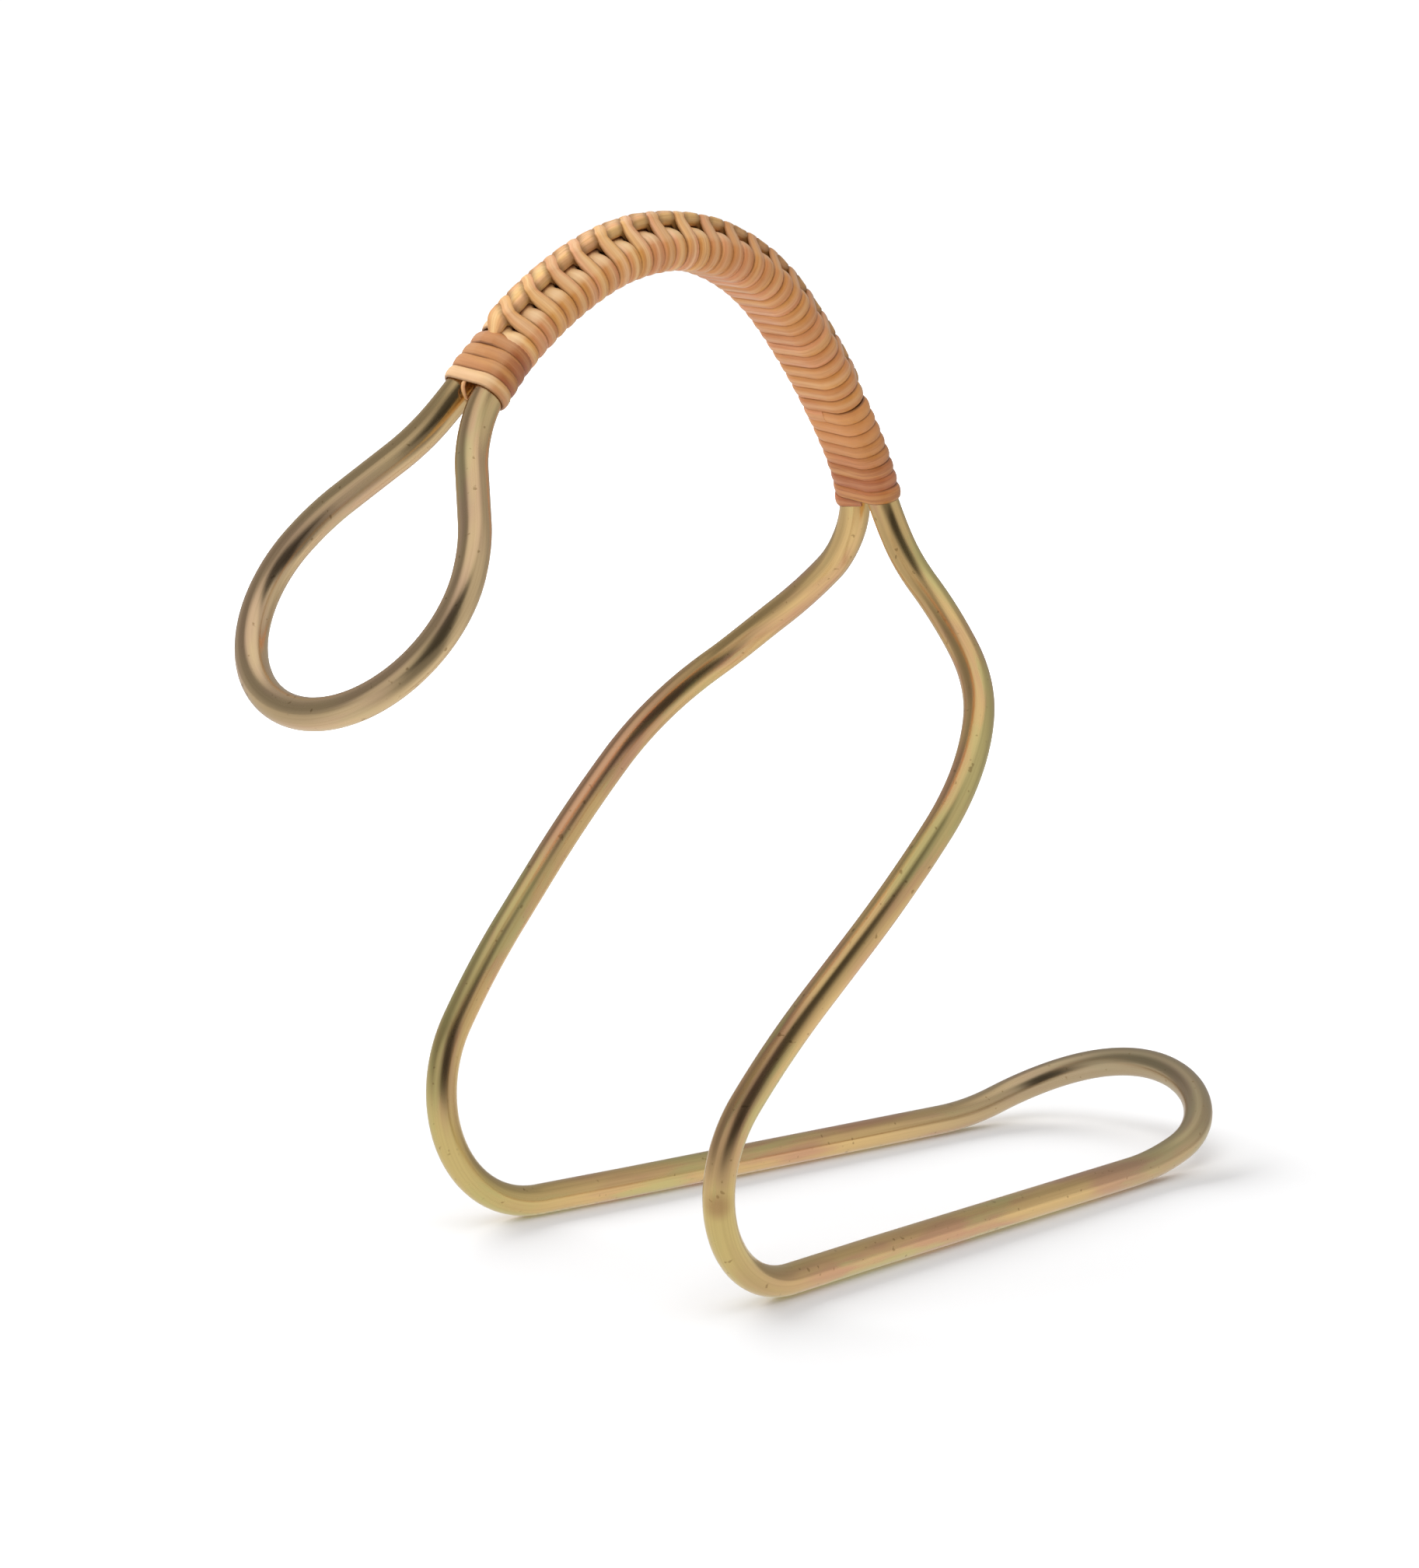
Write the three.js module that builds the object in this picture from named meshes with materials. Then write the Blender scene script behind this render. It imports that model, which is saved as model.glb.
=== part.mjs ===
// A holder that lets a wine bottle lie tilted for pouring: one steel rod bent into a neck ring,
// an arched handle, two legs and a foot loop, with cane strand wound round the handle.
//
// Millimetres, +Z up. +X runs from the neck ring to the heel of the foot loop and +Y to the left
// leg. The two halves of the rod mirror each other across Y = 0, and the foot rests on Z = 0.
// The origin is on the table, midway along the holder's length.

import * as THREE from 'three';

// The rod, and the room between its two runs in the handle.
const ROD_DIAMETER = 6;
const HANDLE_ROD_GAP = 0.3;
const ROD_END_GAP = 0.3;
const ROD_SIDES = 12;
const ROD_SAG = 0.12;

// A run shorter than this is left out of a path.
const LEAST_RUN = 0.01;

// Flat pattern of half the rod: length along the rod's middle plane from one corner to the next,
// the half width at each corner and its bend radius. It starts at the nose of the neck ring.
const NOSE_HALF_WIDTH = 34.9;
const NOSE_BEND = 24;
const RING_SIDE_RUN = 37.9;
const RING_HALF_WIDTH = 20.3;
const RING_BEND = 37.2;
const RING_CLOSING_RUN = 21.2;
const NECK_HALF_WIDTH = 4.4;
const NECK_BEND = 31.4;
const NECK_RUN = 16.9;
const HANDLE_IN_BEND = 24.3;
const HANDLE_RUN = 134.2;
const HANDLE_OUT_BEND = 28.9;
const SPLAY_RUN = 35;
const LEG_TOP_HALF_WIDTH = 42.2;
const LEG_TOP_BEND = 55.6;
const LEG_SHOULDER_RUN = 38.2;
const LEG_HALF_WIDTH = 43.2;
const LEG_BEND = 240;
const LEG_RUN = 125.3;
const FOOT_FRONT_HALF_WIDTH = 32.3;
const FOOT_FRONT_BEND = 120;
const FOOT_RUN = 125.7;
const HEEL_HALF_WIDTH = 23.2;
const HEEL_BEND = 29;

// Side profile that the flat pattern is folded along. Heights are above the table, and reaches
// run forward or back from the corner at the foot's front bends.
const NOSE_REACH = 48.1;
const NOSE_HEIGHT = 115.4;
const HANDLE_FRONT_REACH = 0.1;
const HANDLE_FRONT_HEIGHT = 180.5;
const HANDLE_FRONT_BEND = 79.2;
const APEX_REACH = 48.5;
const APEX_HEIGHT = 202.4;
const APEX_BEND = 47.1;
const HANDLE_BACK_REACH = 83.7;
const HANDLE_BACK_HEIGHT = 166.7;
const HANDLE_BACK_BEND = 143.4;
const HANDLE_END_REACH = 97.6;
const HANDLE_END_HEIGHT = 144.6;
const HANDLE_END_BEND = 48.7;
const LEG_TOP_REACH = 102.2;
const LEG_TOP_HEIGHT = 115.2;
const LEG_TOP_FOLD = 27.1;
const SHIN_REACH = 35.6;
const SHIN_HEIGHT = 50.4;
const SHIN_BEND = 148.7;
const FOOT_BEND = 23.6;
const HEEL_RISE_REACH = 176.9;
const HEEL_RISE_BEND = 67;
const HEEL_TIP_REACH = 211.5;
const HEEL_TIP_HEIGHT = 26.3;

// The cane: where the turns start and stop along the side profile, and how many turns each stretch has.
const WRAP_START = 67.2;
const END_TURN_LENGTH = 2.3;
const BINDING_LENGTH = 9.6;
const BINDING_TURNS = 4;
const WOVEN_LENGTH = 103;
const WOVEN_TURNS = 24;
const LEG_BINDING_LENGTH = 20.6;
const LEG_BINDING_TURNS = 8;
const STRAND_THICKNESS = 0.8;
const STRAND_FLAT = 0.55;
const TURN_GAP = 0.5;
const WRAP_CLEARANCE = 0.35;
const STRAND_END_GAP = 0.3;
const ARC_STEPS = 6;
const FLAT_STEPS = 2;

// The runner, a thicker strip of cane that lies along the top of the woven turns.
const RUNNER_WIDTH = 4.2;
const RUNNER_THICKNESS = 2;
const RUNNER_CLEARANCE = 0.3;
const RUNNER_END_INSET = 0.8;
const RUNNER_TAPER_LENGTH = 4;
const RUNNER_TIP_THICKNESS = 1;
const RUNNER_CROWN_WIDTH = 2.5;
const RUNNER_EDGE_THICKNESS = 0.6;
const RUNNER_STEP = 3;

const ROD_RADIUS = ROD_DIAMETER / 2;
const HANDLE_HALF_WIDTH = (ROD_DIAMETER + HANDLE_ROD_GAP) / 2;

const steelFinish = new THREE.MeshStandardMaterial({
  name: 'bronzed_steel', color: '#b39a63', roughness: 0.35, metalness: 0.9,
});
const caneFinish = new THREE.MeshStandardMaterial({
  name: 'cane', color: '#cd9a62', roughness: 0.6, metalness: 0,
});
const redCaneFinish = new THREE.MeshStandardMaterial({
  name: 'red_cane', color: '#c0794f', roughness: 0.6, metalness: 0,
});
const paleCaneFinish = new THREE.MeshStandardMaterial({
  name: 'pale_cane', color: '#dcb57c', roughness: 0.6, metalness: 0,
});

// A bent line: straight runs between corners, joined by tangent arcs. Two neighbouring arcs that
// ask for more than the run between them are both made tighter. It is read by length.
class BentLine {
  constructor(corners) {
    const points = corners.map(([a, b]) => new THREE.Vector2(a, b));
    const radii = corners.map(([, , bend = 0]) => bend);
    const turns = points.map((point, i) => {
      if (i === 0 || i === points.length - 1) return 0;
      const before = point.clone().sub(points[i - 1]);
      const after = points[i + 1].clone().sub(point);
      return Math.atan2(before.cross(after), before.dot(after));
    });
    const setbacks = turns.map((turn, i) => radii[i] * Math.tan(Math.abs(turn) / 2));
    const shares = points.slice(1).map((point, i) => {
      const wanted = setbacks[i] + setbacks[i + 1];
      return wanted > 0 ? Math.min(1, point.distanceTo(points[i]) / wanted) : 1;
    });

    this.pieces = [];
    this.length = 0;
    let from = points[0];
    for (let i = 1; i < points.length; i++) {
      const direction = points[i].clone().sub(points[i - 1]).normalize();
      const fit = Math.min(shares[i - 1], shares[i] ?? 1);
      const arcStart = points[i].clone().addScaledVector(direction, -setbacks[i] * fit);
      const heading = direction.angle();
      this.addPiece(from, heading, from.distanceTo(arcStart), 0);
      from = arcStart;
      if (turns[i] !== 0) {
        const radius = radii[i] * fit;
        this.addPiece(from, heading, radius * Math.abs(turns[i]), Math.sign(turns[i]) / radius);
        from = this.at(this.length).point;
      }
    }
  }

  addPiece(start, heading, length, curvature) {
    if (length < LEAST_RUN) return;
    this.pieces.push({ start: start.clone(), heading, from: this.length, length, curvature });
    this.length += length;
  }

  // The point, unit direction and curvature a given length along.
  at(length) {
    const piece = this.pieces.findLast(({ from }) => from <= length) ?? this.pieces[0];
    const run = length - piece.from;
    const { start, heading, curvature } = piece;
    const turned = heading + curvature * run;
    const direction = new THREE.Vector2(Math.cos(turned), Math.sin(turned));
    const point = start.clone();
    if (curvature === 0) {
      point.addScaledVector(direction, run);
    } else {
      point.x += (Math.sin(turned) - Math.sin(heading)) / curvature;
      point.y += (Math.cos(heading) - Math.cos(turned)) / curvature;
    }
    return { point, direction, curvature };
  }
}

// Side profile, in reach and height.
const profile = new BentLine([
  [-NOSE_REACH, NOSE_HEIGHT],
  [HANDLE_FRONT_REACH, HANDLE_FRONT_HEIGHT, HANDLE_FRONT_BEND],
  [APEX_REACH, APEX_HEIGHT, APEX_BEND],
  [HANDLE_BACK_REACH, HANDLE_BACK_HEIGHT, HANDLE_BACK_BEND],
  [HANDLE_END_REACH, HANDLE_END_HEIGHT, HANDLE_END_BEND],
  [LEG_TOP_REACH, LEG_TOP_HEIGHT, LEG_TOP_FOLD],
  [SHIN_REACH, SHIN_HEIGHT, SHIN_BEND],
  [0, ROD_RADIUS, FOOT_BEND],
  [HEEL_RISE_REACH, ROD_RADIUS, HEEL_RISE_BEND],
  [HEEL_TIP_REACH, HEEL_TIP_HEIGHT],
]);

// Flat pattern of half the rod, in length along the profile and half width.
function flatPattern() {
  const corners = [
    [0, NOSE_HALF_WIDTH, NOSE_BEND],
    [RING_SIDE_RUN, RING_HALF_WIDTH, RING_BEND],
    [RING_CLOSING_RUN, NECK_HALF_WIDTH, NECK_BEND],
    [NECK_RUN, HANDLE_HALF_WIDTH, HANDLE_IN_BEND],
    [HANDLE_RUN, HANDLE_HALF_WIDTH, HANDLE_OUT_BEND],
    [SPLAY_RUN, LEG_TOP_HALF_WIDTH, LEG_TOP_BEND],
    [LEG_SHOULDER_RUN, LEG_HALF_WIDTH, LEG_BEND],
    [LEG_RUN, FOOT_FRONT_HALF_WIDTH, FOOT_FRONT_BEND],
    [FOOT_RUN, HEEL_HALF_WIDTH, HEEL_BEND],
  ];
  let station = 0;
  const placed = corners.map(([run, halfWidth, bend]) => {
    station += run;
    return [station, halfWidth, bend];
  });
  return new BentLine([[0, 0], ...placed, [station, 0]]);
}
const pattern = flatPattern();

// The rod's ends are farthest forward at the nose and farthest back at the heel.
const noseReach = profile.at(0).point.x;
const heelReach = profile.at(pattern.at(pattern.length).point.x).point.x;
const middleReach = (noseReach + heelReach) / 2;

// Point, tangent and normal of the side profile in space, with the origin under the middle.
function spine(station) {
  const { point, direction } = profile.at(station);
  return {
    point: new THREE.Vector3(point.x - middleReach, 0, point.y),
    tangent: new THREE.Vector3(direction.x, 0, direction.y),
    normal: new THREE.Vector3(-direction.y, 0, direction.x),
  };
}

// The rod's centre line at a length along the flat pattern, on the side of the given sign.
function rodFrame(length, side) {
  const flat = pattern.at(length);
  const { point, tangent, normal } = spine(flat.point.x);
  point.y = side * flat.point.y;
  const along = tangent.multiplyScalar(flat.direction.x);
  along.y = side * flat.direction.y;
  return { point, along, normal };
}

// Lengths along the flat pattern where the rod gets a ring of points: each end of every bend,
// flat or folded, and enough places between them to stay within the sag.
function rodStations() {
  const ends = [0, pattern.length];
  for (const piece of pattern.pieces) ends.push(piece.from);
  for (const piece of profile.pieces) {
    if (piece.from > 0 && piece.from < pattern.at(pattern.length).point.x) {
      ends.push(lengthAtStation(piece.from));
    }
  }
  const breaks = [...new Set(ends)].sort((a, b) => a - b);
  const stations = [];
  for (let i = 0; i + 1 < breaks.length; i++) {
    const span = breaks[i + 1] - breaks[i];
    if (span < LEAST_RUN) continue;
    const middle = pattern.at((breaks[i] + breaks[i + 1]) / 2);
    const curvature = Math.hypot(middle.curvature, profile.at(middle.point.x).curvature);
    const step = curvature > 0 ? Math.sqrt((8 * ROD_SAG) / curvature) : span;
    const steps = Math.ceil(span / step);
    for (let k = 0; k < steps; k++) stations.push(breaks[i] + (span * k) / steps);
  }
  stations.push(pattern.length);
  return stations;
}

// The length along the flat pattern at which it reaches a station of the profile.
function lengthAtStation(station) {
  let low = 0;
  let high = pattern.length;
  for (let i = 0; i < 50; i++) {
    const middle = (low + high) / 2;
    if (pattern.at(middle).point.x < station) low = middle;
    else high = middle;
  }
  return (low + high) / 2;
}

// A closed tube through rings of points, with flat ends, facing outwards.
function tubeGeometry(rings) {
  const sides = rings[0].length;
  const positions = rings.flat().flatMap((point) => point.toArray());
  const index = [];
  for (let ring = 0; ring + 1 < rings.length; ring++) {
    for (let i = 0; i < sides; i++) {
      const a = ring * sides + i;
      const b = ring * sides + ((i + 1) % sides);
      index.push(a, b, a + sides, b, b + sides, a + sides);
    }
  }
  const last = (rings.length - 1) * sides;
  for (let i = 1; i + 1 < sides; i++) {
    index.push(0, i + 1, i);
    index.push(last, last + i, last + i + 1);
  }
  const geometry = new THREE.BufferGeometry();
  geometry.setAttribute('position', new THREE.Float32BufferAttribute(positions, 3));
  geometry.setIndex(index);
  geometry.computeVertexNormals();
  return geometry;
}

function namedMesh(name, geometry, material) {
  const mesh = new THREE.Mesh(geometry, material);
  mesh.name = name;
  return mesh;
}

// A ring of the rod: a regular polygon whose flats touch the rod's circle, one of them square to
// the profile's normal, so that the foot has flats on the table.
function rodRing({ point, along, normal }) {
  const across = normal.clone().cross(along);
  const reach = ROD_RADIUS / Math.cos(Math.PI / ROD_SIDES);
  return Array.from({ length: ROD_SIDES }, (_, i) => {
    const angle = ((i + 0.5) * 2 * Math.PI) / ROD_SIDES;
    return point.clone()
      .addScaledVector(across, reach * Math.cos(angle))
      .addScaledVector(normal, reach * Math.sin(angle));
  });
}

// The whole rod, from its butt joint in the handle's left run round the neck ring, down the right
// leg, round the foot and back up the left leg to the joint.
function bentRod() {
  const stations = rodStations();
  const jointStation = RING_SIDE_RUN + RING_CLOSING_RUN + NECK_RUN + HANDLE_RUN / 2;
  const joint = lengthAtStation(jointStation);
  const rings = [];
  const add = (length, side, direction) => {
    const frame = rodFrame(length, side);
    frame.along.multiplyScalar(direction);
    rings.push(rodRing(frame));
  };
  const before = stations.filter((length) => length < joint - ROD_END_GAP);
  const after = stations.filter((length) => length > joint + ROD_END_GAP);
  add(joint - ROD_END_GAP / 2, 1, -1);
  for (const length of before.toReversed()) add(length, 1, -1);
  for (const length of stations.slice(1)) add(length, -1, 1);
  for (const length of after.toReversed().slice(1)) add(length, 1, -1);
  add(joint + ROD_END_GAP / 2, 1, -1);
  return namedMesh('bent_rod', tubeGeometry(rings), steelFinish);
}

// Where each turn of cane crosses the underside of the handle, along the profile.
const stretches = [
  { name: 'neck_end_turn', turns: 1, length: END_TURN_LENGTH, finish: paleCaneFinish },
  { name: 'neck_binding', turns: BINDING_TURNS, length: BINDING_LENGTH, finish: redCaneFinish },
  { name: 'woven_wrap', turns: WOVEN_TURNS, length: WOVEN_LENGTH, finish: caneFinish },
  { name: 'leg_binding', turns: LEG_BINDING_TURNS, length: LEG_BINDING_LENGTH, finish: redCaneFinish },
];
const crossings = [WRAP_START];
for (const { turns, length } of stretches) {
  const start = crossings.at(-1);
  for (let i = 1; i <= turns; i++) crossings.push(start + (length * i) / turns);
}

// Steps of one turn round both runs of the rod, starting and ending under the handle's middle.
// Each has the side of its run of rod, its outward direction and its share of the turn's climb.
// The half steps under the middle run straight across, so that ends meet face to face.
const TURN_STEPS = 2 * (ARC_STEPS + FLAT_STEPS);
const STRAND_MIDDLE = (ROD_RADIUS + WRAP_CLEARANCE + STRAND_THICKNESS / 2)
  / Math.cos(Math.PI / ARC_STEPS / 2);
function turnStep(step) {
  const climb = THREE.MathUtils.clamp((step - 1) / (TURN_STEPS - 2), 0, 1);
  const rightArc = FLAT_STEPS / 2;
  const leftArc = rightArc + ARC_STEPS + FLAT_STEPS;
  for (const [first, side] of [[rightArc, -1], [leftArc, 1]]) {
    if (step < first || step > first + ARC_STEPS) continue;
    const angle = side * Math.PI * (1 / 2 - (step - first) / ARC_STEPS);
    return { side, outAcross: side * Math.cos(angle), outUp: Math.sin(angle), climb };
  }
  const onTop = step > rightArc && step < leftArc;
  return { side: 0, outAcross: 0, outUp: onTop ? 1 : -1, climb };
}

// The middle of the strand at a step of a turn, with the direction of its width and outwards. Each
// turn stays square to the handle and lies flat on the rod, also where the two runs splay apart.
// The turns before the first and after the last are imagined, to give those two their width.
function strandFrame(turn, step) {
  const { side, outAcross, outUp, climb } = turnStep(step);
  const real = THREE.MathUtils.clamp(turn, 0, crossings.length - 2);
  const pitch = crossings[real + 1] - crossings[real];
  const station = crossings[real] + (turn - real + climb) * pitch;
  const { point, tangent, normal } = spine(station);
  point.addScaledVector(normal, outUp * STRAND_MIDDLE);
  if (side === 0) return { point, along: tangent, outward: normal.multiplyScalar(outUp) };

  const rod = rodFrame(lengthAtStation(station), side);
  const splayed = 1 / rod.along.dot(tangent);
  point.y = rod.point.y + outAcross * STRAND_MIDDLE * splayed;
  const outward = normal.clone().cross(rod.along).multiplyScalar(outAcross);
  outward.addScaledVector(normal, outUp);
  return { point, along: rod.along, outward };
}

// One stretch of the strand. It fills the room to the turns beside it, less the gap between turns.
function windStrand(firstTurn, turns) {
  const rings = [];
  for (let turn = firstTurn; turn < firstTurn + turns; turn++) {
    for (let step = turn === firstTurn ? 0 : 1; step <= TURN_STEPS; step++) {
      const { point, along, outward } = strandFrame(turn, step);
      const [before, after] = [-1, 1].map((way) => {
        const beside = strandFrame(turn + way, step).point;
        return (beside.distanceTo(point) - TURN_GAP) / 2;
      });
      if (turn === firstTurn && step === 0) point.y -= STRAND_END_GAP / 2;
      if (turn === firstTurn + turns - 1 && step === TURN_STEPS) point.y += STRAND_END_GAP / 2;
      rings.push(strandRing(point, along, outward, before, after));
    }
  }
  return rings;
}

// A six-sided section: flat above and below over a share of its width, thin at both edges.
function strandRing(point, along, outward, before, after) {
  const half = STRAND_THICKNESS / 2;
  const corners = [
    [-before, 0], [-before * STRAND_FLAT, half], [after * STRAND_FLAT, half],
    [after, 0], [after * STRAND_FLAT, -half], [-before * STRAND_FLAT, -half],
  ];
  return corners.map(([width, up]) => point.clone()
    .addScaledVector(along, width)
    .addScaledVector(outward, up));
}

// The least distance between rings of the strand that are most of a turn or more apart.
function leastGap(rings) {
  let least = Infinity;
  for (let i = 0; i < rings.length; i++) {
    const far = Math.min(rings.length, i + 2 * TURN_STEPS);
    for (let j = i + TURN_STEPS - 2; j < far; j++) {
      for (const a of rings[i]) {
        for (const b of rings[j]) least = Math.min(least, a.distanceTo(b));
      }
    }
  }
  return least;
}

function caneWindings() {
  const group = new THREE.Group();
  let turn = 0;
  for (const { name, turns, finish } of stretches) {
    const rings = windStrand(turn, turns);
    if (turns > 1) console.log(`${name}: least gap between turns ${leastGap(rings).toFixed(2)} mm`);
    group.add(namedMesh(name, tubeGeometry(rings), finish));
    turn += turns;
  }
  return group;
}

// The runner follows the profile just above the woven turns, thinned at its two ends.
function topRunner() {
  const start = WRAP_START + END_TURN_LENGTH + BINDING_LENGTH + RUNNER_END_INSET;
  const length = WOVEN_LENGTH - 2 * RUNNER_END_INSET;
  const underside = STRAND_MIDDLE + STRAND_THICKNESS / 2 + RUNNER_CLEARANCE;
  const steps = Math.ceil(length / RUNNER_STEP);
  const rings = [];
  for (let i = 0; i <= steps; i++) {
    const run = (length * i) / steps;
    const fromEnd = Math.min(run, length - run);
    const fullness = Math.min(1, fromEnd / RUNNER_TAPER_LENGTH);
    const thickness = THREE.MathUtils.lerp(RUNNER_TIP_THICKNESS, RUNNER_THICKNESS, fullness);
    const { point, normal } = spine(start + run);
    point.addScaledVector(normal, underside);
    rings.push(runnerRing(point, normal, thickness));
  }
  return namedMesh('top_runner', tubeGeometry(rings), paleCaneFinish);
}

// The runner's section: flat below and crowned above.
function runnerRing(point, normal, thickness) {
  const edge = Math.min(RUNNER_EDGE_THICKNESS, thickness / 2);
  const corners = [
    [RUNNER_WIDTH, 0], [RUNNER_WIDTH, edge], [RUNNER_CROWN_WIDTH, thickness],
    [-RUNNER_CROWN_WIDTH, thickness], [-RUNNER_WIDTH, edge], [-RUNNER_WIDTH, 0],
  ];
  return corners.map(([width, up]) => {
    const corner = point.clone().addScaledVector(normal, up);
    corner.y += width / 2;
    return corner;
  });
}

const bottleHolder = new THREE.Group();
bottleHolder.name = 'bottle_holder';
bottleHolder.add(bentRod(), caneWindings(), topRunner());

export default bottleHolder;
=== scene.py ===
# %% [markdown]
# # A bottle holder bent from one rod, with a cane-wrapped handle
# The real holder is a single length of rod, taken here as 6 mm steel. It is bent into a ring for the
# bottle's neck, an arched handle, two legs and a foot loop, and then plated a yellow bronze. Cane
# strand is wound round the two runs of rod in the handle. This lesson dresses the measured solids: it
# sweeps the rod and the strands along their real paths, gives them their finishes, and lights them as
# a plain product photo. Lengths on the object are in millimetres, those of floor and lamps in metres.

import math
from collections import namedtuple

import bmesh
import bpy
from mathutils import Matrix, Vector, noise


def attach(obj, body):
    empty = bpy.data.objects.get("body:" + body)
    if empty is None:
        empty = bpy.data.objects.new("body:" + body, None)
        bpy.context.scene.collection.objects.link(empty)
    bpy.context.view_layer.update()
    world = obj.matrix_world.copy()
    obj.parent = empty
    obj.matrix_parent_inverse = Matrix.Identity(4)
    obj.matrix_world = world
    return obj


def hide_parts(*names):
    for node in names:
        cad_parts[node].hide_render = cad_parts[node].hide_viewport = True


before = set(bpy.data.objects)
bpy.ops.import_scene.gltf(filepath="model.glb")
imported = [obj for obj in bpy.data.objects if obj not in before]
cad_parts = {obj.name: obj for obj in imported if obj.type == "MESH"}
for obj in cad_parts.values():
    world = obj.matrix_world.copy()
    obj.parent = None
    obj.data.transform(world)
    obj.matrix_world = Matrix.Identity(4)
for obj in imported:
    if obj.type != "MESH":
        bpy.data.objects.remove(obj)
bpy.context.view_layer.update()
MM = 0.001

# %% [markdown]
# ## The rod's centre line
# A bender works from a flat pattern that is then folded, and so does this script. The flat pattern
# gives half the width at each length of rod, and the side profile gives the reach and the height. Both
# are straight runs joined by tangent arcs, as on the bench. A curve drawn freely through points would
# be quicker to write, but its bends would have no true radius. Each half of the rod is the mirror image
# of the other, so one half is enough.

# %% A line of straight runs and bends
Corner = namedtuple("Corner", "name along off bend", defaults=(0.0,))
Run = namedtuple("Run", "start heading begins curvature")
LEAST_RUN = 0.01


class BentLine:
    """Straight runs between corners, joined by tangent arcs, read by length.

    Two neighbouring arcs that ask for more than the run between them are both made tighter.
    """

    def __init__(self, corners):
        points = [Vector((corner.along, corner.off)) for corner in corners]
        turns = [0.0] * len(points)
        for i in range(1, len(points) - 1):
            before, after = points[i] - points[i - 1], points[i + 1] - points[i]
            turns[i] = math.atan2(before.x * after.y - before.y * after.x, before.dot(after))
        setbacks = [corner.bend * math.tan(abs(turn) / 2) for corner, turn in zip(corners, turns)]
        shares = []
        for i in range(1, len(points)):
            wanted = setbacks[i - 1] + setbacks[i]
            room = (points[i] - points[i - 1]).length
            shares.append(min(1.0, room / wanted) if wanted > 0 else 1.0)

        self.runs = []
        self.length = 0.0
        place = points[0]
        for i in range(1, len(points)):
            direction = (points[i] - points[i - 1]).normalized()
            heading = math.atan2(direction.y, direction.x)
            fit = min(shares[i - 1:i + 1])
            arc_start = points[i] - direction * setbacks[i] * fit
            self.add(place, heading, (arc_start - place).length, 0.0)
            place = arc_start
            if turns[i]:
                radius = corners[i].bend * fit
                self.add(place, heading, radius * abs(turns[i]), math.copysign(1 / radius, turns[i]))
                place = self.at(self.length)[0]

    def add(self, start, heading, length, curvature):
        if length > LEAST_RUN:
            self.runs.append(Run(start.copy(), heading, self.length, curvature))
            self.length += length

    def at(self, length):
        """The point and the unit direction at a length."""
        run = next((r for r in reversed(self.runs) if r.begins <= length), self.runs[0])
        beyond = length - run.begins
        angle = run.heading + run.curvature * beyond
        direction = Vector((math.cos(angle), math.sin(angle)))
        if run.curvature == 0:
            return run.start + direction * beyond, direction
        turned = Vector((math.sin(angle) - math.sin(run.heading), math.cos(run.heading) - math.cos(angle)))
        return run.start + turned / run.curvature, direction


square_bend = BentLine([Corner("start", 0, 0), Corner("bend", 50, 0, 10), Corner("end", 50, 50)])
print(f"a square bend of radius 10 mm between runs of 50 mm takes {square_bend.length:.1f} mm of rod")

# %% Side profile: reach and height of each corner, and its bend radius
ROD_DIAMETER = 6.0
ROD_RADIUS = ROD_DIAMETER / 2

profile = BentLine([
    Corner("nose of the neck ring", -48.1, 115.4),
    Corner("front of the handle", 0.1, 180.5, 79.2),
    Corner("top of the handle", 48.5, 202.4, 47.1),
    Corner("back of the handle", 83.7, 166.7, 143.4),
    Corner("end of the handle", 97.6, 144.6, 48.7),
    Corner("top of the legs", 102.2, 115.2, 27.1),
    Corner("shins", 35.6, 50.4, 148.7),
    Corner("front bends of the foot", 0.0, ROD_RADIUS, 23.6),
    Corner("rise to the heel", 176.9, ROD_RADIUS, 67.0),
    Corner("tip of the heel", 211.5, 26.3),
])
print(f"side profile: {profile.length:.1f} mm long")

# %% Flat pattern: length since the last corner, half the width there, and the bend radius
HANDLE_ROD_GAP = 0.3
HANDLE_HALF_WIDTH = (ROD_DIAMETER + HANDLE_ROD_GAP) / 2

pattern_steps = [
    Corner("nose of the neck ring", 0.0, 34.9, 24.0),
    Corner("sides of the neck ring", 37.9, 20.3, 37.2),
    Corner("closing of the neck ring", 21.2, 4.4, 31.4),
    Corner("start of the handle", 16.9, HANDLE_HALF_WIDTH, 24.3),
    Corner("end of the handle", 134.2, HANDLE_HALF_WIDTH, 28.9),
    Corner("top of the legs", 35.0, 42.2, 55.6),
    Corner("shoulders of the legs", 38.2, 43.2, 240.0),
    Corner("front bends of the foot", 125.3, 32.3, 120.0),
    Corner("heel", 125.7, 23.2, 29.0),
]
corners = [Corner("middle of the nose", 0.0, 0.0)]
station = 0.0
for step in pattern_steps:
    station += step.along
    corners.append(step._replace(along=station))
pattern = BentLine(corners + [Corner("middle of the heel", station, 0.0)])
print(f"half a rod is {pattern.length:.1f} mm long")

# %% Places on the folded pattern
UP = Vector((0, 0, 1))
ACROSS = Vector((0, 1, 0))
HALVINGS = 40
nose_reach = profile.at(0)[0].x
heel_reach = profile.at(pattern.at(pattern.length)[0].x)[0].x
middle_reach = (nose_reach + heel_reach) / 2


def spine(station):
    """Point, tangent and normal of the side profile in space."""
    point, direction = profile.at(station)
    return (Vector((point.x - middle_reach, 0, point.y)),
            Vector((direction.x, 0, direction.y)), Vector((-direction.y, 0, direction.x)))


def length_at(station):
    """The length along the flat pattern at which it reaches a station of the profile."""
    low, high = 0.0, pattern.length
    for _ in range(HALVINGS):
        middle = (low + high) / 2
        if pattern.at(middle)[0].x < station:
            low = middle
        else:
            high = middle
    return low


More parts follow.
